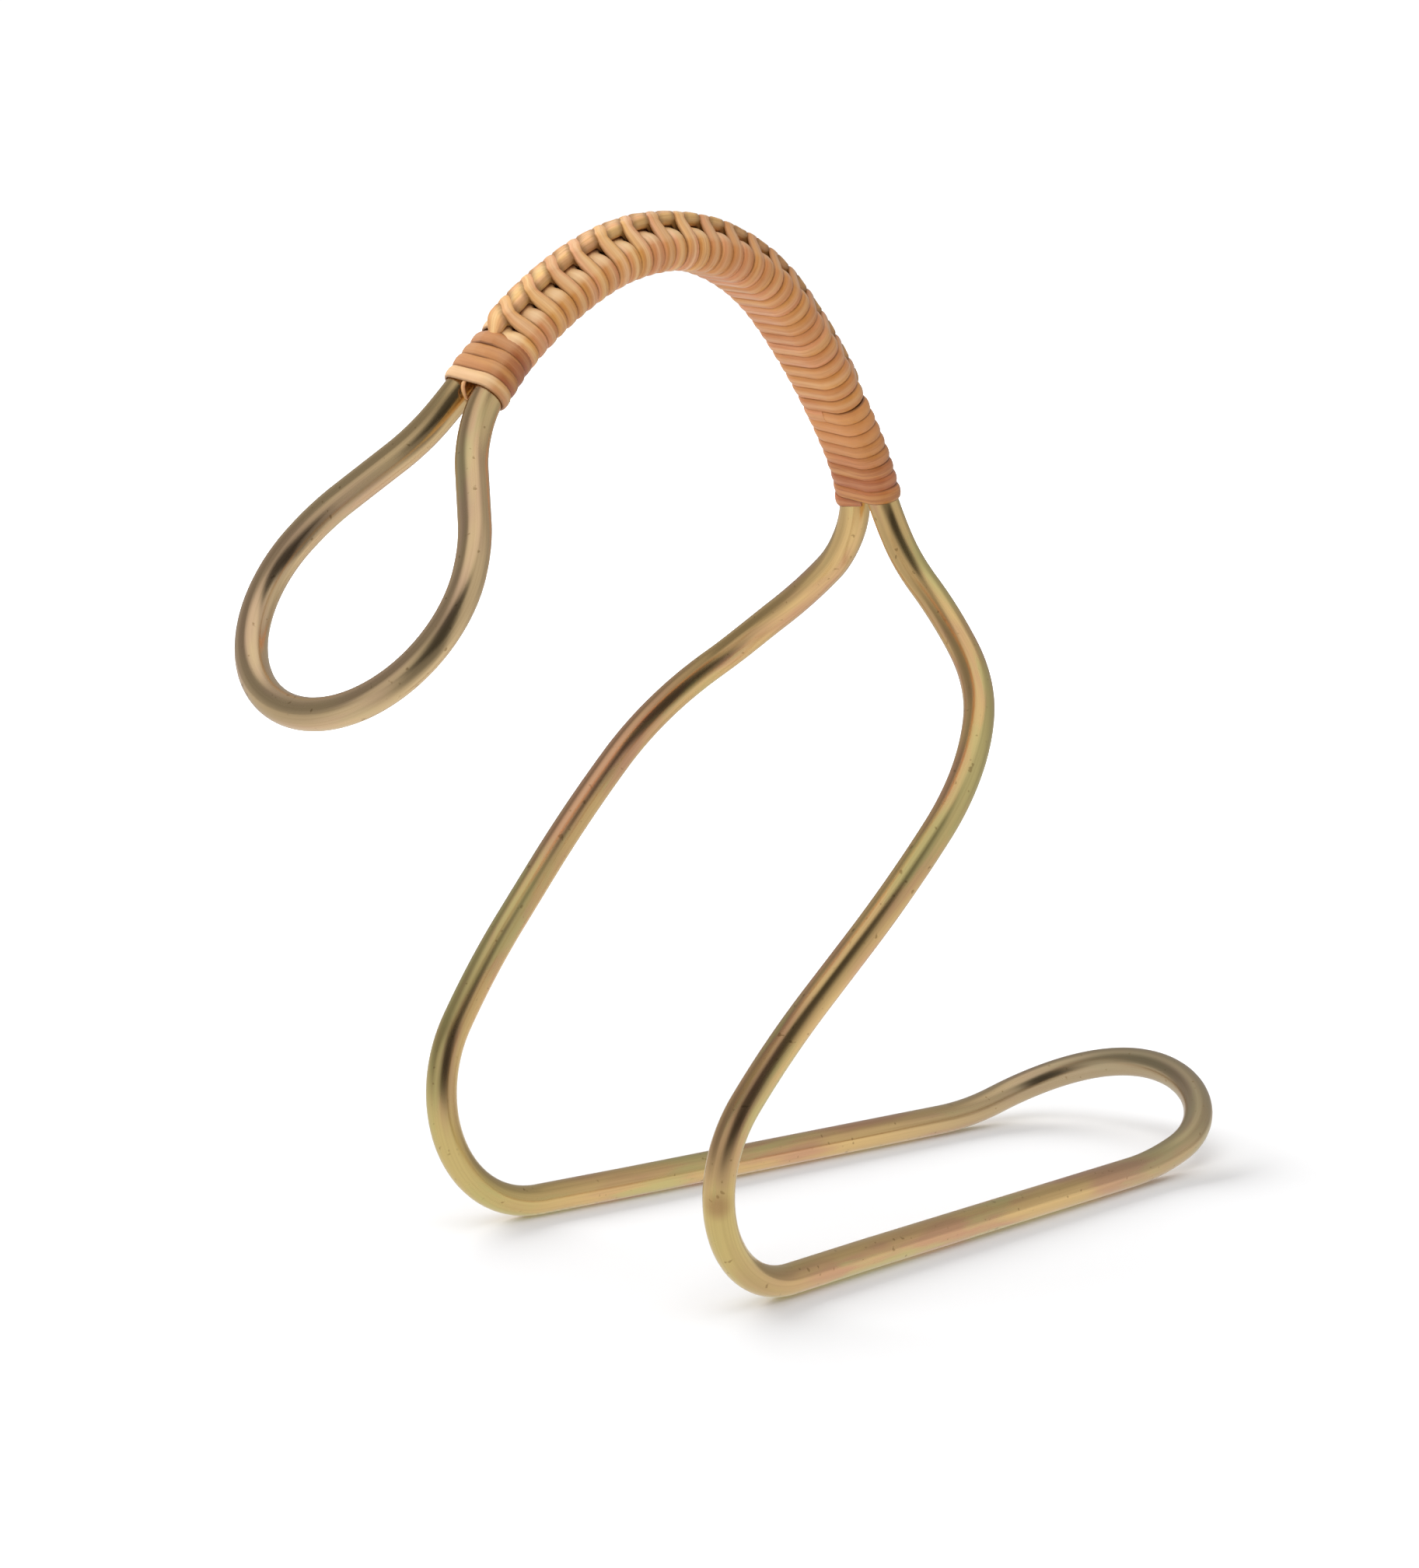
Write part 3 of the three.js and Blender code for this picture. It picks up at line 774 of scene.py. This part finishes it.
# %% Wind the strand
def wind(turns, width, woven=False):
    """Stops of the strand over a list of turns, with a little hand-made unevenness."""
    stops = []
    for turn in turns:
        half_width = pattern.at(length_at(turn.start + turn.pitch / 2))[0].y
        for at in taut_turn(half_width, turn.lift):
            if stops and at.share == 0:
                continue
            travel = turn.start + turn.pitch * gained(at, woven)
            wander = WANDER * unevenness(travel, WANDER_SPAN, WANDER_SEED)
            point, _, normal = spine(travel + wander)
            splayed = pattern.at(length_at(travel))[0].y - half_width
            side = math.copysign(1, at.across) if abs(at.across) > half_width / 2 else 0
            point += normal * at.up + ACROSS * (at.across + side * splayed)
            outer = ACROSS * math.cos(at.angle) + normal * math.sin(at.angle)
            crossing = eased(at.up, CLIMB_START, CROWN_HEIGHT)
            uneven = UNEVEN * unevenness(travel, UNEVEN_SPAN, UNEVEN_SEED)
            swell = width / STRAND_WIDTH * (1 + uneven) * (1 - PINCH * crossing)
            # A painted highlight on the top of each turn, weaker where the turn crosses the runner.
            off_top = abs(math.degrees(at.angle) - 90)
            rubbed = (1 - eased(off_top, HIGHLIGHT_FULL, HIGHLIGHT_GONE)) * (1 - HIGHLIGHT_LESS * crossing)
            stops.append(Stop(point, outer, swell, rubbed))
    return stops


print("one woven turn has", len(wind(woven_turns[:1], STRAND_WIDTH, woven=True)), "stops")

# %% [markdown]
# ## The strand's two ends
# At the neck the pale first turn ends in a short tail that is tucked down between the rods. At the
# legs the last turn is shaved thin and turned in. Without that, both ends would show a square cut.

# %% End the strand
TAIL_SWELL, TAIL_LEAN = 0.34, 0.6
TAIL = [
    (67.8, 0.1, 3.1), (66.8, 0.1, 3.1), (66.1, 0.0, 2.8),
    (65.6, -0.1, 2.2), (65.2, -0.1, 1.4), (65.0, 0.0, 0.6),
]
TUCK_STOPS, TUCK_DEPTH, TUCK_THINNING = 6, 1.2, 0.6


def tail_stops():
    """Stops of the tail, from its stations, its places across and its heights."""
    stops = []
    for station, across, up in TAIL:
        point, tangent, normal = spine(station)
        outer = (normal - tangent * TAIL_LEAN).normalized()
        stops.append(Stop(point + ACROSS * across + normal * up, outer, TAIL_SWELL))
    return stops


def tucked(stops):
    """Shaves the last stops thin and turns them in between the rods."""
    kept = stops[:-TUCK_STOPS]
    for k, stop in enumerate(stops[-TUCK_STOPS:], 1):
        share = k / TUCK_STOPS
        inwards = stop.outer_face * (-TUCK_DEPTH * share * share)
        thinned = stop.swell * (1 - TUCK_THINNING * share)
        kept.append(stop._replace(point=stop.point + inwards, swell=thinned))
    return kept


print("the tail has", len(TAIL), "stops, and the last turn is tucked over", TUCK_STOPS)

# %% Wind every stretch of the strand
END_WIDTH, BAND_WIDTH = 2.8, 3.1
STRAND_FACETS = 14


def strand_piece(name, stops, finish):
    return sweep_piece(name, stops, STRAND_WIDTH, STRAND_THICKNESS, STRAND_FACETS, finish, dome=STRAND_DOME)


def join_pieces(piece, extra):
    """Moves the mesh of a second piece into the first."""
    both = bmesh.new()
    both.from_mesh(piece.data)
    both.from_mesh(extra.data)
    both.to_mesh(piece.data)
    both.free()
    bpy.data.objects.remove(extra)


end_turn_piece = strand_piece("pale_end_turn", wind(end_turn, END_WIDTH), pale_cane)
join_pieces(end_turn_piece, strand_piece("tucked_tail", tail_stops(), pale_cane))
neck_piece = strand_piece("neck_turns", wind(neck_turns, BAND_WIDTH), neck_cane)
woven_piece = strand_piece("woven_turns", wind(woven_turns, STRAND_WIDTH, woven=True), woven_cane)
leg_piece = strand_piece("leg_turns", tucked(wind(leg_turns, BAND_WIDTH)), leg_cane)

# %% [markdown]
# ## The runner
# The runner is a thick pale strip that lies on the under-turns. The over-turns press it down a little,
# so between them it bulges and shows as a row of leaf-shaped patches. Both ends are shaved thin and
# tucked under the first plain turns. It is swept plain first and then pressed vertex by vertex, because
# the crossings lean and a section that only swells couldn't follow them.

# %% Lay the runner
RUNNER_WIDTH, RUNNER_THICKNESS = 5.3, 2.65
RUNNER_FACETS, RUNNER_ROUNDNESS = 28, 0.7
RUNNER_STEPS = 400
RUNNER_TUCK = 1.8
RUNNER_TIP = 0.3
THINNED_OVER, LOWERED_OVER = (-0.5, 5.0), (0.5, 3.5)
RUNNER_BULGE, BULGE_SPAN, BULGE_SEED = 0.05, 3.1, (1.7, 0.0)
RUNNER_CLEARANCE = 0.1
runner_from, runner_to = woven_start - RUNNER_TUCK, leg_start + RUNNER_TUCK
runner_stations = [runner_from + (runner_to - runner_from) * i / RUNNER_STEPS
                   for i in range(RUNNER_STEPS + 1)]


def runner_stops():
    """Stops of the runner, which thins to its tips and comes down there from the under-turns."""
    stops = []
    for station in runner_stations:
        from_end = min(station - runner_from, runner_to - station)
        fullness = RUNNER_TIP + (1 - RUNNER_TIP) * eased(from_end, *THINNED_OVER)
        swell = fullness * (1 + RUNNER_BULGE * unevenness(station, BULGE_SPAN, BULGE_SEED))
        point, _, normal = spine(station)
        underside = ROD_RADIUS + RUNNER_CLEARANCE + STRAND_THICKNESS * eased(from_end, *LOWERED_OVER)
        point += normal * (underside + RUNNER_THICKNESS * swell / 2)
        stops.append(Stop(point, normal, swell))
    return stops


runner = sweep_piece("pale_runner", runner_stops(), RUNNER_WIDTH, RUNNER_THICKNESS, RUNNER_FACETS,
                     runner_cane, roundness=RUNNER_ROUNDNESS)

# %% Press it down under each over-turn
PRESS_CLEARANCE = 0.2
PRESSED_FULL, PRESSED_GONE = 0.5, 1.7
SHADED_FULL, SHADED_GONE = 1.2, 2.5
SAGGING_BELOW = 4.7
over_crown = [at for at in taut_turn(HANDLE_HALF_WIDTH, 1.0) if at.up > 0]


def crossing_height(across):
    """Height of the middle of an over-turn above the handle's middle, at a place across it."""
    for at, ahead in zip(over_crown, over_crown[1:]):
        if at.across <= across <= ahead.across and ahead.across > at.across:
            return at.up + (ahead.up - at.up) * (across - at.across) / (ahead.across - at.across)
    return 0.0


def press_runner(piece):
    """Lowers the runner's top to the over-turns and its edges to the rods, and marks painted shade round
    each over-turn.
    """
    vertices, lowered = piece.data.vertices, 0
    # This attribute holds painted shade round each over-turn, which the cane finishes mix in.
    pressed = piece.data.attributes.new("pressed", "FLOAT", "POINT")
    crossings = [turn.start for turn in woven_turns if turn.lift == 1.0]
    per_stop = len(vertices) // len(runner_stations)
    for i, vertex in enumerate(vertices):
        station = runner_stations[min(i // per_stop, RUNNER_STEPS)]
        middle, _, normal = spine(station)
        across = vertex.co.y / MM
        height = (vertex.co / MM - middle).dot(normal)
        lean = WOVEN_PITCH * eased(across, LEAN_FROM, LEAN_TO)
        off = min(abs(station - start - lean) for start in crossings)
        covered = 1 - eased(off, PRESSED_FULL, PRESSED_GONE)
        pressed.data[i].value = 1 - eased(off, SHADED_FULL, SHADED_GONE)
        ceiling = crossing_height(across) - PRESS_CLEARANCE
        if height > ceiling:
            target = ceiling
        elif height < SAGGING_BELOW:
            target = min(height, ROD_RADIUS + RUNNER_CLEARANCE)
        else:
            continue
        if covered > 0:
            vertex.co -= normal * (height - target) * covered * MM
            lowered += 1
    piece.data.update()
    print(f"{piece.name}: {lowered} of {len(vertices)} vertices pressed, {volume_of(piece.data):.2f} cm3")


press_runner(runner)

# %% Ride on the body and replace the solids
for piece, node, slot_name in (
        (rod, "bent_rod", "bronzed_steel"), (end_turn_piece, "neck_end_turn", "pale_cane"),
        (neck_piece, "neck_binding", "red_cane"), (woven_piece, "woven_wrap", "cane"),
        (runner, "top_runner", "pale_cane"), (leg_piece, "leg_binding", "red_cane")):
    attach(piece, "root")
    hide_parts(node)

# %% [markdown]
# ## Camera, room and light
# Metal shows whatever surrounds it, so the room matters more than the lamps. The bands along the rod
# tell what stood round it: a shaded backdrop behind, a soft box overhead, a lit wall on the right, a
# narrow window on the left, and the dark where the camera stood. A short table holds those panels by
# direction, and one shader group turns a direction into the room's tone. The world uses it for
# mirrored rays only. The floor glows with it for those rays too, and paler near the holder, because a
# low ray from the rod meets the floor first.

# %% Camera at the photo's angle
SHOT_AZIMUTH, SHOT_ELEVATION, SHOT_ROLL = (math.radians(v) for v in (-45.917, 11.081, 2.137))
FOCAL_PIXELS, PHOTO_HEIGHT = 6474.165, 2016
# The camera's reach is counted from the front bends of the foot, as in the side profile.
CAMERA_PLACE = Vector((-617.601 - middle_reach, -652.236, 274.446)) * MM
forward = Vector((-math.sin(SHOT_AZIMUTH) * math.cos(SHOT_ELEVATION),
                  math.cos(SHOT_AZIMUTH) * math.cos(SHOT_ELEVATION), -math.sin(SHOT_ELEVATION)))
level_right = Vector((math.cos(SHOT_AZIMUTH), math.sin(SHOT_AZIMUTH), 0))
level_up = level_right.cross(forward)
right = level_right * math.cos(SHOT_ROLL) + level_up * math.sin(SHOT_ROLL)
camera_up = -level_right * math.sin(SHOT_ROLL) + level_up * math.cos(SHOT_ROLL)
to_camera = Vector((-forward.x, -forward.y, 0)).normalized()

camera_data = bpy.data.cameras.new("photo camera")
camera_data.sensor_fit = "VERTICAL"
camera_data.sensor_height = 36
camera_data.lens = FOCAL_PIXELS / PHOTO_HEIGHT * camera_data.sensor_height
camera_data.clip_start, camera_data.clip_end = 0.05, 40
camera = bpy.data.objects.new("photo camera", camera_data)
turned = Matrix((right, camera_up, -forward)).transposed()
camera.matrix_world = Matrix.Translation(CAMERA_PLACE) @ turned.to_4x4()
bpy.context.scene.collection.objects.link(camera)
bpy.context.scene.camera = camera
print("camera", [round(v, 3) for v in CAMERA_PLACE], "lens", round(camera_data.lens, 1))

# %% The room as metal sees it: degrees to the right of the camera and up, then degrees off that
Panel = namedtuple("Panel", "name azimuth elevation full_within gone_beyond tone")
ROOM_TONE = 0.42
ROOM = [
    Panel("shaded backdrop", 180, 8, 32, 68, 0.40),
    Panel("unlit left wall", -88, 38, 15, 45, 0.26),
    Panel("left window", -42, 15, 8, 26, 0.62),
    Panel("lit right wall", 75, 20, 20, 45, 0.62),
    Panel("dark round the camera", 18, 5, 14, 40, 0.04),
    Panel("dark above the camera", 12, 38, 12, 34, 0.06),
    Panel("overhead soft box", 0, 90, 22, 42, 0.88),
]


def build_room_tone():
    """Turns a direction from the object into the grey tone that metal mirrors there."""
    tree = bpy.data.node_groups.new("room tone", "ShaderNodeTree")
    socket(tree, "Direction", "INPUT", "NodeSocketVector")
    socket(tree, "Tone", "OUTPUT", "NodeSocketColor")
    unit = vector_math(tree, "NORMALIZE", add_node(tree, "NodeGroupInput").outputs["Direction"])
    tone = grey(ROOM_TONE)
    for panel in ROOM:
        azimuth, elevation = math.radians(panel.azimuth), math.radians(panel.elevation)
        level = to_camera * math.cos(azimuth) + level_right * math.sin(azimuth)
        middle = level * math.cos(elevation) + UP * math.sin(elevation)
        low, high = (math.cos(math.radians(angle)) for angle in (panel.gone_beyond, panel.full_within))
        mask = spread(tree, vector_math(tree, "DOT_PRODUCT", unit, middle), low, high)
        tone = blend(tree, mask, tone, grey(panel.tone))
    feed_all(tree, add_node(tree, "NodeGroupOutput"), Tone=tone)
    return tree


room_tone = build_room_tone()
print("room panels:", [panel.name for panel in ROOM])


def room_tone_towards(tree, direction):
    node = add_node(tree, "ShaderNodeGroup", node_tree=room_tone)
    return feed_all(tree, node, Direction=direction)["Tone"]


# %% White ground: plain to the lamps, whiter to the camera far out, and glowing to metal
FLOOR_HALF = 6.0
GROUND_WHITE = (0.93, 0.93, 0.935, 1.0)
SHADOW_MIDDLE, SHADOW_REACH, FAR_LIFT = (20.0, 0.0, 0.0), 400.0, 0.66
MIRRORED_NEAR, MIRRORED_REACH, MIRRORED_GLOW = 0.85, 300.0, 0.8
MIRRORED_BASE = 0.2


def white_ground():
    """Shaded by the lamps near the object, lifted to white far out, and glowing in mirrored rays."""
    material, tree, shader = new_finish("white ground")
    path = add_node(tree, "ShaderNodeLightPath").outputs
    far_out = scaled(tree, near(tree, SHADOW_MIDDLE, SHADOW_REACH), -FAR_LIFT, FAR_LIFT)
    lift = scaled(tree, path["Is Camera Ray"], far_out)
    place = add_node(tree, "ShaderNodeTexCoord").outputs["Object"]
    mirrored = blend(tree, near(tree, (0.0, 0.0, 0.0), MIRRORED_REACH), room_tone_towards(tree, place),
                     grey(MIRRORED_NEAR))
    feed_all(tree, shader, Specular_IOR_Level=0.0, Roughness=0.9,
             Base_Color=blend(tree, path["Is Glossy Ray"], GROUND_WHITE, grey(MIRRORED_BASE)),
             Emission_Color=blend(tree, path["Is Glossy Ray"], grey(1.0), mirrored),
             Emission_Strength=scaled(tree, path["Is Glossy Ray"], MIRRORED_GLOW, lift))
    return material


floor_mesh = bpy.data.meshes.new("floor")
floor_corners = [(FLOOR_HALF * x, FLOOR_HALF * y, 0) for x, y in ((-1, -1), (1, -1), (1, 1), (-1, 1))]
floor_mesh.from_pydata(floor_corners, [], [(0, 1, 2, 3)])
floor_mesh.materials.append(white_ground())
floor = bpy.data.objects.new("floor", floor_mesh)
bpy.context.scene.collection.objects.link(floor)
print("floor:", 2 * FLOOR_HALF, "m square")

# %% [markdown]
# ## Lamps
# Three soft boxes light the cane and draw the shadow. Metal doesn't mirror them, because the room
# already holds what it should show. The one behind draws the soft shadow towards the viewer. The world
# adds an even soft light from all round.

# %% Soft boxes, in metres and watts
SoftBox = namedtuple("SoftBox", "name place width height power")
AIM = Vector((0.0, 0.0, 0.09))
SOFT_BOXES = [
    SoftBox("top soft box", Vector((-0.30, -0.10, 1.10)), 1.0, 1.0, 5.2),
    SoftBox("bright backdrop", -to_camera * 0.8 - level_right * 0.8 + UP * 0.57, 1.9, 0.75, 18.0),
    SoftBox("front soft box", to_camera * 1.1 - level_right * 0.5 + UP * 0.7, 1.0, 0.8, 3.8),
]
for box in SOFT_BOXES:
    light = bpy.data.lights.new(box.name, "AREA")
    light.shape = "RECTANGLE"
    light.size, light.size_y = box.width, box.height
    light.energy = box.power
    lamp = bpy.data.objects.new(box.name, light)
    lamp.location = AIM + box.place
    lamp.rotation_euler = (-box.place).to_track_quat("-Z", "Y").to_euler()
    lamp.visible_glossy = False
    bpy.context.scene.collection.objects.link(lamp)
print("soft boxes:", [box.name for box in SOFT_BOXES])

# %% World
AMBIENT = 0.42


def build_world():
    """White to the camera, the room's tone to metal, and an even soft light to everything else."""
    world = bpy.data.worlds.new("studio")
    bpy.context.scene.world = world
    world.use_nodes = True
    tree = world.node_tree
    path = add_node(tree, "ShaderNodeLightPath").outputs
    direction = add_node(tree, "ShaderNodeTexCoord").outputs["Generated"]
    lit = blend(tree, path["Is Glossy Ray"], grey(AMBIENT), room_tone_towards(tree, direction))
    feed(tree, tree.nodes["Background"].inputs["Color"], blend(tree, path["Is Camera Ray"], lit, grey(1.0)))


build_world()
bpy.context.scene.view_settings.view_transform = "Standard"
print("view transform:", bpy.context.scene.view_settings.view_transform)
